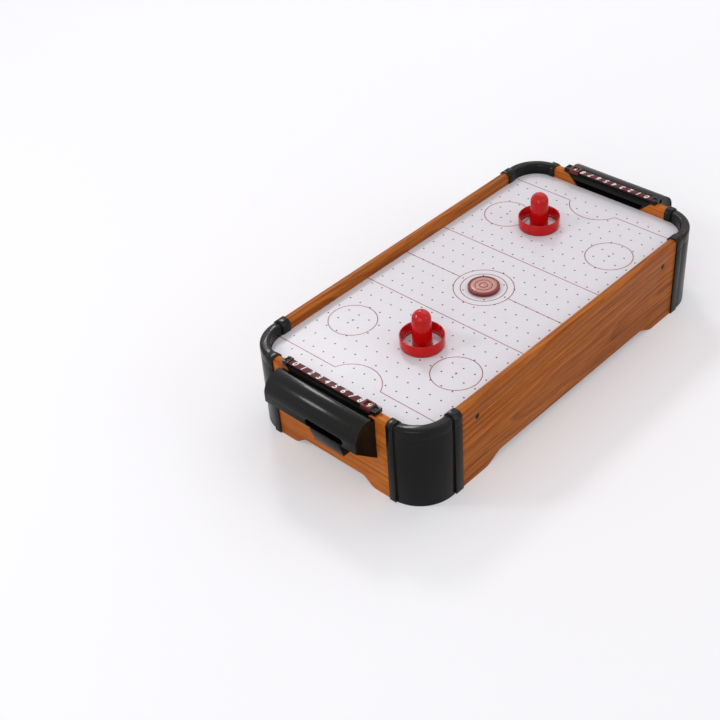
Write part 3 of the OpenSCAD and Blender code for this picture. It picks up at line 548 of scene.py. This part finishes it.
def steel(name, tint, rough):
    """Plated or blackened steel with fine turning marks."""
    s = Shader(name, Metallic=1.0)
    grain = s.noise(1.0, s.mapped(scale=(300.0, 300.0, 2600.0)), detail=4.0)
    s.set(Base_Color=s.mix(grain, shade(tint, 0.8), shade(tint, 1.1)),
          Roughness=s.spread(grain, rough, rough + 0.2))
    s.bump(grain, 0.00003, 0.4)
    return s.material


def felt(colours):
    """Dark pressed felt."""
    s = Shader("pusher_felt", Roughness=0.95, Sheen_Weight=0.6, Sheen_Roughness=0.5)
    fuzz = s.noise(2600.0, detail=6.0, roughness=0.7)
    s.set(Base_Color=s.ramp(fuzz, [(0.35, (0.008, 0.008, 0.009)), (0.7, (0.05, 0.05, 0.052))]))
    s.bump(fuzz, 0.0002, 0.9)
    return s.material


def puck_finish(colours):
    """Pale top with darker moulded rings; the rings and the side are told apart by the radius."""
    s = Shader("puck_plastic", Coat_Weight=0.15, Coat_Roughness=0.12, Specular_IOR_Level=0.25)
    low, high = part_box("puck")
    centre = (low + high) / 2
    axes = s.node("ShaderNodeSeparateXYZ", {
        "Vector": s.mapped(move=(-centre.x, -centre.y, -centre.z))}).outputs
    radius = s.math("SQRT", s.math("ADD", s.math("MULTIPLY", axes[0], axes[0]),
                                   s.math("MULTIPLY", axes[1], axes[1])))
    reach = (high.x - low.x) / 2
    dark, pale = colours.puck_side, colours.puck_top
    bands = s.ramp(s.math("DIVIDE", radius, reach), [
        (0.0, pale), (0.20, pale), (0.225, dark), (0.265, dark), (0.29, pale), (0.495, pale),
        (0.515, dark), (0.55, dark), (0.57, pale), (0.79, pale), (0.83, dark), (1.0, dark)])
    flat = s.math("GREATER_THAN", s.math("ABSOLUTE", s.node("ShaderNodeSeparateXYZ", {
        "Vector": s.node("ShaderNodeNewGeometry").outputs["Normal"]}).outputs[2]), 0.8)
    speckle = s.noise(700.0, detail=4.0, roughness=0.65)
    tint = s.mix(flat, dark, bands)
    s.set(Base_Color=s.mix(s.spread(speckle, 0.0, 0.30), tint, shade(dark, 1.3)),
          Roughness=s.spread(speckle, 0.25, 0.42))
    s.bump(speckle, 0.00004, 0.5)
    return s.material


def ink(colours):
    """White print of the numbers."""
    s = Shader("number_ink", Roughness=0.4)
    s.set(Base_Color=s.mix(s.noise(800.0), shade(colours.digit, 0.9), colours.digit))
    return s.material


def floor_finish(colours):
    """Plain pale floor. The camera sees it a little lighter than the object is lit by it."""
    s = Shader("plain_floor", Roughness=0.9, Specular_IOR_Level=0.05)
    bounce, glow = 0.85, 0.23
    seen = s.node("ShaderNodeLightPath").outputs["Is Camera Ray"]
    grain = s.mix(s.noise(1.5), shade(colours.floor, bounce + 0.005), shade(colours.floor, bounce + 0.01))
    s.set(Base_Color=s.mix(seen, shade(colours.floor, bounce), grain),
          Emission_Color=colours.floor, Emission_Strength=s.math("MULTIPLY", seen, glow))
    return s.material


FINISHES = {
    "side_wood": lambda c: laminate("laminate_side", c.wood_light, c.wood_dark, cut=(0.128, -0.045)),
    "end_wood": lambda c: laminate("laminate_end", shade(c.wood_light, 1.18), shade(c.wood_dark, 1.35),
                                   along_y=True, cut=(0.285, -0.05), tilt=3.0),
    "black": lambda c: moulded("black_plastic", c.black, 0.18, 0.28, coat=0.12, gloss=0.12),
    "field": printed_field,
    "red": lambda c: moulded("red_plastic", c.red, 0.16, 0.24, 2400.0, 0.00001, coat=0.4, gloss=0.06),
    "maroon": lambda c: moulded("strip_plastic", c.maroon, 0.34, 0.46, gloss=0.15),
    "window": lambda c: moulded("window_plastic", c.window, 0.24, 0.34, 2000.0, 0.00001, gloss=0.25),
    "puck": puck_finish,
    "ink": ink,
    "felt": felt,
    "pine": pine,
    "panel": pressed_board,
    "dark_grey": lambda c: moulded("fan_plastic", c.dark_grey, 0.38, 0.5),
    "rocker": lambda c: moulded("rocker_plastic", shade(c.black, 0.8), 0.2, 0.3),
    "steel": lambda c: steel("zinc_steel", c.steel, 0.28),
    "can": lambda c: steel("motor_can", c.steel, 0.35),
    "black_steel": lambda c: steel("black_screw", (0.03, 0.03, 0.032), 0.35),
    "jacket": lambda c: moulded("cell_jacket", (0.04, 0.07, 0.14), 0.2, 0.3),
    "leads": lambda c: moulded("lead_jacket", (0.30, 0.02, 0.02), 0.35, 0.45),
    "floor": floor_finish,
}


# ---------- operators ----------

class PieceOperator(bpy.types.Operator):
    """Shared by all the piece operators."""
    bl_options = {"REGISTER", "UNDO"}

    def execute(self, context):
        self.build(context.scene.air_table_sizes)
        return {"FINISHED"}


class AIRTABLE_OT_boards(PieceOperator):
    """Side and end boards in woodgrain laminate"""
    bl_idname = "airtable.boards"
    bl_label = "Boards"

    def build(self, sizes):
        for place in ("front_side", "rear_side"):
            dress(place + "_board", sizes.board_edge, material("side_wood"))
        for side in SIDES:
            node = side + "_end_board"
            board = node_copy(node)
            self.plug(board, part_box(side + "_catch_cup"))
            finish(board, node, sizes.board_edge, material("end_wood"))

    def plug(self, board, cup):
        """Fills the holes behind the plain cup, because the pocket has its screws higher up."""
        def mend():
            choose_faces(board, lambda at: cup[0].y < at.y < cup[1].y and cup[0].z < at.z < cup[1].z)
            bpy.ops.mesh.delete(type="FACE")
            bpy.ops.mesh.select_all(action="SELECT")
            bpy.ops.mesh.fill_holes(sides=0)
            bpy.ops.mesh.normals_make_consistent(inside=False)
        edit(board, mend)


class AIRTABLE_OT_covers(PieceOperator):
    """Moulded covers over the four corners"""
    bl_idname = "airtable.covers"
    bl_label = "Corner covers"

    def build(self, sizes):
        for corner in CORNERS:
            dress(corner + "_cover", sizes.moulded_edge, material("black"), clamp=False)


class AIRTABLE_OT_playfield(PieceOperator):
    """Drilled playfield with its printed lines"""
    bl_idname = "airtable.playfield"
    bl_label = "Playfield"

    def build(self, sizes):
        paint("playfield", material("field"))


class AIRTABLE_OT_goals(PieceOperator):
    """Goal linings, moulded hoods and the return pockets under them"""
    bl_idname = "airtable.goals"
    bl_label = "Goals"

    past, clear_of = 1 * MM, 9 * MM   # how far a cutting body passes a face, and stands out of a piece
    clearance = 0.3 * MM              # between the hood's cut and the pocket
    cheek_rim, cheek_sink = 2 * MM, 0.8 * MM
    step_ends, step_depth, step_drop = 15.5 * MM, 1.5 * MM, 1.2 * MM
    mouth_spread, mouth_round = 1.6 * MM, 5.5 * MM
    ramp_tilt, ramp_thick = math.radians(20), 2 * MM
    lip_back, cheek_back, shoulder_back = 0.1 * MM, 0.6 * MM, 5 * MM
    flange_extra = 0.4 * MM           # how much thicker the pocket's wall is at the board

    def build(self, sizes):
        for side in SIDES:
            dress(side + "_goal_lining", sizes.small_edge, material("black"))
        low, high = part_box("right_goal_hood")
        hood = self.hood(sizes, low, high)
        pocket = self.pocket(sizes, low, high)
        for right, part, width in ((hood, "goal_hood", sizes.hood_edge),
                                   (pocket, "catch_cup", sizes.pocket_edge)):
            left = turned_copy(right)
            finish(right, "right_" + part, width, material("black"), 3)
            finish(left, "left_" + part, width, material("black"), 3)

    def pitch(self, sizes, depth):
        """Rise of the hood's underside for each metre outwards."""
        return (sizes.hood_front - sizes.hood_low) / depth

    def profile(self, sizes, low, high, inset=0.0, back=0.0):
        """Outline of the hood's side as (x, z), smaller by inset and starting back from the board."""
        depth = high.x - low.x
        pitch = self.pitch(sizes, depth)
        foot = sizes.hood_low + inset * math.hypot(1.0, pitch)
        ledge, shelf = sizes.ledge_depth + inset, high.z - sizes.ledge_drop - inset
        points = [(back, foot + back * pitch), (depth - inset, foot + (depth - inset) * pitch)]
        points += arc((depth - sizes.hood_radius, high.z - sizes.hood_radius),
                      sizes.hood_radius - inset, 0, 90, 20)
        points += [(ledge, high.z - inset), (ledge, shelf), (back, shelf)]
        return [(low.x + x, z) for x, z in points]

    def slab(self, outline, start, end):
        """A side outline as a body from one y to another."""
        return prism([(x, start, z) for x, z in outline], (0, end - start, 0))

    def hood(self, sizes, low, high):
        """Thin shell with sunk cheeks, open at the board and over the pocket, with two ramps inside."""
        wall = sizes.hood_wall
        hood = self.slab(self.profile(sizes, low, high), low.y, high.y)
        combine(hood, self.slab(self.profile(sizes, low, high, wall, -self.past),
                                low.y + wall, high.y - wall))
        y, half = sizes.pocket_offset, sizes.pocket_half + self.clearance
        combine(hood, block((low.x - self.past, y - half, sizes.hood_low - self.clear_of),
                            (high.x + self.past, y + half, sizes.hood_front + self.past / 2)))
        combine(hood, prism(self.mouth(sizes, (low.x + high.x) / 2), (high.x - low.x, 0, 0)))
        rim = self.profile(sizes, low, high, self.cheek_rim, self.cheek_rim)
        for edge in (low.y, high.y):
            combine(hood, self.slab(rim, edge - self.cheek_sink, edge + self.cheek_sink))
        combine(hood, block(
            (low.x, low.y + self.step_ends, high.z - self.step_drop),
            (low.x + sizes.ledge_depth + self.step_depth, high.y - self.step_ends, high.z + self.past)))
        for away, edge in ((-1, low.y), (1, high.y)):
            ramp = self.ramp(sizes, low, high, y + away * half, edge - away * wall / 2)
            combine(hood, ramp, "UNION")
        return hood

    def ramp(self, sizes, low, high, near, far):
        """Sloping floor from the pocket up to a cheek, cut to the hood's inside."""
        foot = sizes.pocket_floor + sizes.pocket_flange
        head = foot + abs(far - near) * math.tan(self.ramp_tilt)
        x = low.x + self.past
        ramp = prism([(x, near, foot), (x, far, head), (x, far, head - self.ramp_thick),
                      (x, near, foot - self.ramp_thick)], (high.x - low.x, 0, 0))
        shell = self.profile(sizes, low, high, sizes.hood_wall / 2)
        return combine(ramp, self.slab(shell, low.y, high.y), "INTERSECT")

    def mouth(self, sizes, x):
        """Opening in the hood's skin over the pocket."""
        foot = sizes.pocket_half + self.mouth_spread
        across = foot + sizes.mouth_flare - self.mouth_round
        up = sizes.hood_front + sizes.mouth_height - self.mouth_round
        points = [(-foot, sizes.hood_front - self.past), (foot, sizes.hood_front - self.past)]
        points += arc((across, up), self.mouth_round, -38, 90, 8)
        points += arc((-across, up), self.mouth_round, 90, 218, 8)
        return [(x, sizes.pocket_offset + y, z) for y, z in points]

    def pocket(self, sizes, low, high):
        """Cup whose cheeks stand in the hood's cut and whose front leans outwards."""
        depth = high.x - low.x
        pitch = self.pitch(sizes, depth)
        inside = sizes.hood_low + sizes.hood_wall * math.hypot(1.0, pitch)
        floor, wall = sizes.pocket_floor, sizes.pocket_wall
        flange, top = floor + sizes.pocket_flange, sizes.pocket_lip + self.clear_of
        lip = depth - self.lip_back
        foot, shoulder = lip - sizes.pocket_lean, depth - self.shoulder_back
        lean = sizes.pocket_lean / (sizes.pocket_lip - floor)
        cheek = [(0.0, floor), (foot, floor), (lip, sizes.pocket_lip),
                 (depth - self.cheek_back, sizes.hood_front), (shoulder, inside + shoulder * pitch),
                 ((flange - inside) / pitch, flange), (0.0, flange)]
        back, front = wall + self.flange_extra, foot - wall
        hollow = [(back, floor + wall), (front + lean * wall, floor + wall),
                  (front + lean * (top - floor), top), (back, top)]
        y, half = sizes.pocket_offset, sizes.pocket_half
        cup = self.slab([(low.x + x, z) for x, z in cheek], y - half, y + half)
        return combine(cup, self.slab([(low.x + x, z) for x, z in hollow],
                                      y - half + wall, y + half - wall))


class AIRTABLE_OT_score_keepers(PieceOperator):
    """Score rails, number strips with their digits, and sliding windows"""
    bl_idname = "airtable.score_keepers"
    bl_label = "Score keepers"

    capital, slant, weight = 0.7, 0.28, 0.03    # share of the type size, and of the digits' height

    def build(self, sizes):
        for side in SIDES:
            dress(side + "_score_rail", sizes.small_edge, material("black"))
            dress(side + "_number_strip", sizes.fine_edge, material("maroon"))
            dress(side + "_score_slider", sizes.small_edge, material("window"))
            self.digits(side, sizes)

    def digits(self, side, sizes):
        """Numbers from 0 to 9 along a strip, which read from outside; the window rests over the 9."""
        low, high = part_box(side + "_number_strip")
        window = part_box(side + "_score_slider")
        nine = (window[0].y + window[1].y) / 2
        pieces = []
        for number in range(10):
            clear()
            bpy.ops.object.text_add(location=(0, 0, 0))
            text = bpy.context.active_object
            text.data.body = str(number)
            text.data.size = sizes.digit_height / self.capital
            text.data.shear = self.slant
            text.data.offset = self.weight * sizes.digit_height
            text.data.extrude = sizes.digit_relief
            text.data.align_x = "CENTER"
            text.data.align_y = "CENTER"
            bpy.ops.object.convert(target="MESH")
            digit = bpy.context.active_object
            digit.rotation_euler = (0, 0, math.radians(-90 if side == "left" else 90))
            y = nine * (1 - 2 * (9 - number) / 9)
            digit.location = ((low.x + high.x) / 2, y, high.z + sizes.digit_relief)
            pieces.append(digit)
        row = join(pieces)
        settle(row, side + "_score_digits", "table", material("ink"))


class AIRTABLE_OT_pushers(PieceOperator):
    """Two pushers with domed handles, open rims, spokes and felt rings"""
    bl_idname = "airtable.pushers"
    bl_label = "Pushers"

    def build(self, sizes):
        for side in SIDES:
            dress(side + "_pusher", sizes.pusher_edge, material("red"), 3, clamp=False)
            dress(side + "_pusher_felt", sizes.felt_edge, material("felt"))


class AIRTABLE_OT_puck(PieceOperator):
    """Puck with moulded rings"""
    bl_idname = "airtable.puck"
    bl_label = "Puck"

    def build(self, sizes):
        dress("puck", sizes.fine_edge, material("puck"))


class AIRTABLE_OT_screws(PieceOperator):
    """Screws of the boards, hoods, score rails, fan and battery door"""
    bl_idname = "airtable.screws"
    bl_label = "Screws"

    def build(self, sizes):
        for node, slot, kind in (("side_screws", "black_steel", "black_steel"),
                                 ("score_screws", "black_steel", "black_steel"),
                                 ("hood_screws", "zinc_steel", "steel"),
                                 ("panel_screws", "zinc_steel", "steel"),
                                 ("door_screw", "zinc_steel", "steel")):
            piece = node_copy(node)
            if node == "hood_screws":
                self.raise_pocket_screws(piece, sizes)
            finish(piece, node, sizes.screw_edge, material(kind))

    def raise_pocket_screws(self, piece, sizes):
        """Moves the screws behind the plain cups to where the pockets have theirs."""
        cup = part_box("right_catch_cup")

        def move():
            for end in (-1, 1):
                choose_faces(piece, lambda at: at.x * end > 0 and cup[0].z < at.z < cup[1].z)
                bpy.ops.transform.translate(value=(
                    0, end * sizes.pocket_offset, sizes.pocket_floor - cup[0].z))
        edit(piece, move)


class AIRTABLE_OT_air_box(PieceOperator):
    """Battens, posts, bottom panel, fan, batteries, leads and switch"""
    bl_idname = "airtable.air_box"
    bl_label = "Air box"

    def build(self, sizes):
        for node in ("front_field_batten", "rear_field_batten", "left_field_batten",
                     "right_field_batten", "front_floor_batten", "rear_floor_batten",
                     "left_field_post", "right_field_post"):
            paint(node, material("pine"))
        dress("bottom_panel", sizes.screw_edge, material("panel"))
        for node in ("fan_guard", "battery_door", "fan_impeller"):
            dress(node, sizes.small_edge, material("dark_grey"))
        for node in ("fan_housing", "battery_box"):
            paint(node, material("dark_grey"))
        for node, kind in (("fan_motor", "can"), ("motor_shaft", "steel"), ("battery_contacts", "steel"),
                           ("battery_cells", "jacket"), ("power_leads", "leads")):
            paint(node, material(kind))
        dress("switch_housing", sizes.small_edge, material("black"))
        dress("switch_rocker", sizes.small_edge, material("rocker"))


class AIRTABLE_OT_stage(bpy.types.Operator):
    """Floor, soft lights, world and camera"""
    bl_idname = "airtable.stage"
    bl_label = "Stage"
    bl_options = {"REGISTER", "UNDO"}

    # name, place, what it is aimed at, width and power
    lamps = (
        ("back_light", (2.4, 0.3, 3.1), (0.0, 0.0, 0.05), 3.0, 22.0),
        ("sheen_light", (1.75, 2.55, 3.05), (0.0, 0.0, 0.1), 0.8, 31.0),
        ("left_light", (-1.45, 1.26, 1.52), (-0.3, 0.0, 0.1), 0.42, 8.0),
        ("front_light", (-3.3, -1.4, 1.7), (0.0, 0.0, 0.05), 2.4, 30.0),
        ("side_light", (1.1, -3.1, 2.0), (0.0, 0.0, 0.05), 1.9, 11.5),
    )

    def execute(self, context):
        clear()
        bpy.ops.mesh.primitive_plane_add(size=12.0, location=(0, 0, 0))
        floor = bpy.context.active_object
        floor.name = "floor"
        floor.data.materials.append(material("floor"))
        for name, place, aim, size, power in self.lamps:
            lamp = bpy.data.lights.new(name, "AREA")
            lamp.shape = "DISK"
            lamp.size = size
            lamp.energy = power
            holder = bpy.data.objects.new(name, lamp)
            holder.location = place
            holder.rotation_euler = (Vector(aim) - Vector(place)).to_track_quat("-Z", "Y").to_euler()
            context.scene.collection.objects.link(holder)
        self.world(context.scene)
        self.camera(context.scene)
        context.scene.view_settings.view_transform = "Standard"
        return {"FINISHED"}

    def world(self, scene):
        """White where it is seen straight on or in a reflection, and soft light elsewhere."""
        scene.world = bpy.data.worlds.new("soft_room")
        scene.world.use_nodes = True
        tree = scene.world.node_tree
        backdrop = tree.nodes["Background"]
        light = tree.nodes.new("ShaderNodeLightPath")
        strength = tree.nodes.new("ShaderNodeMapRange")
        strength.inputs["To Min"].default_value = 0.52
        strength.inputs["To Max"].default_value = 1.0
        seen = light.outputs["Is Camera Ray"]
        for ray in ("Is Glossy Ray", "Is Transmission Ray"):
            either = tree.nodes.new("ShaderNodeMath")
            either.operation = "MAXIMUM"
            tree.links.new(seen, either.inputs[0])
            tree.links.new(light.outputs[ray], either.inputs[1])
            seen = either.outputs[0]
        tree.links.new(seen, strength.inputs["Value"])
        tree.links.new(strength.outputs[0], backdrop.inputs["Strength"])
        backdrop.inputs["Color"].default_value = (1.0, 1.0, 1.0, 1.0)

    def camera(self, scene):
        """A long lens that looks down on the table from the front left."""
        lens = bpy.data.cameras.new("camera")
        lens.lens = 66.11
        lens.sensor_width = 36.0
        lens.clip_end = 50.0
        camera = bpy.data.objects.new("camera", lens)
        camera.location = (-1.14672, -0.93602, 1.17020)
        camera.rotation_euler = [math.radians(a) for a in (51.3745, 3.5881, -46.7801)]
        scene.collection.objects.link(camera)
        scene.camera = camera


class AIRTABLE_PT_sidebar(bpy.types.Panel):
    """Lists the piece operators and the settings."""
    bl_idname = "AIRTABLE_PT_sidebar"
    bl_label = "Air Hockey Table"
    bl_space_type = "VIEW_3D"
    bl_region_type = "UI"
    bl_category = "Air Hockey"

    def draw(self, context):
        for operator in PIECES + (AIRTABLE_OT_stage,):
            self.layout.operator(operator.bl_idname)
        for group in (context.scene.air_table_sizes, context.scene.air_table_colours):
            box = self.layout.box()
            for name in group.__annotations__:
                box.prop(group, name)


PIECES = (
    AIRTABLE_OT_boards, AIRTABLE_OT_covers, AIRTABLE_OT_playfield, AIRTABLE_OT_goals,
    AIRTABLE_OT_score_keepers, AIRTABLE_OT_pushers, AIRTABLE_OT_puck, AIRTABLE_OT_screws,
    AIRTABLE_OT_air_box,
)
CLASSES = (AirTableSizes, AirTableColours) + PIECES + (AIRTABLE_OT_stage, AIRTABLE_PT_sidebar)


def register():
    """Adds the classes and the two groups of settings."""
    for cls in CLASSES:
        bpy.utils.register_class(cls)
    bpy.types.Scene.air_table_sizes = bpy.props.PointerProperty(type=AirTableSizes)
    bpy.types.Scene.air_table_colours = bpy.props.PointerProperty(type=AirTableColours)


def unregister():
    """Takes them out again."""
    del bpy.types.Scene.air_table_colours
    del bpy.types.Scene.air_table_sizes
    for cls in reversed(CLASSES):
        bpy.utils.unregister_class(cls)


def main():
    """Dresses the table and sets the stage."""
    register()
    bpy.ops.airtable.boards()
    bpy.ops.airtable.covers()
    bpy.ops.airtable.playfield()
    bpy.ops.airtable.goals()
    bpy.ops.airtable.score_keepers()
    bpy.ops.airtable.pushers()
    bpy.ops.airtable.puck()
    bpy.ops.airtable.screws()
    bpy.ops.airtable.air_box()
    bpy.ops.airtable.stage()
    clear()


if __name__ == "__main__":
    main()
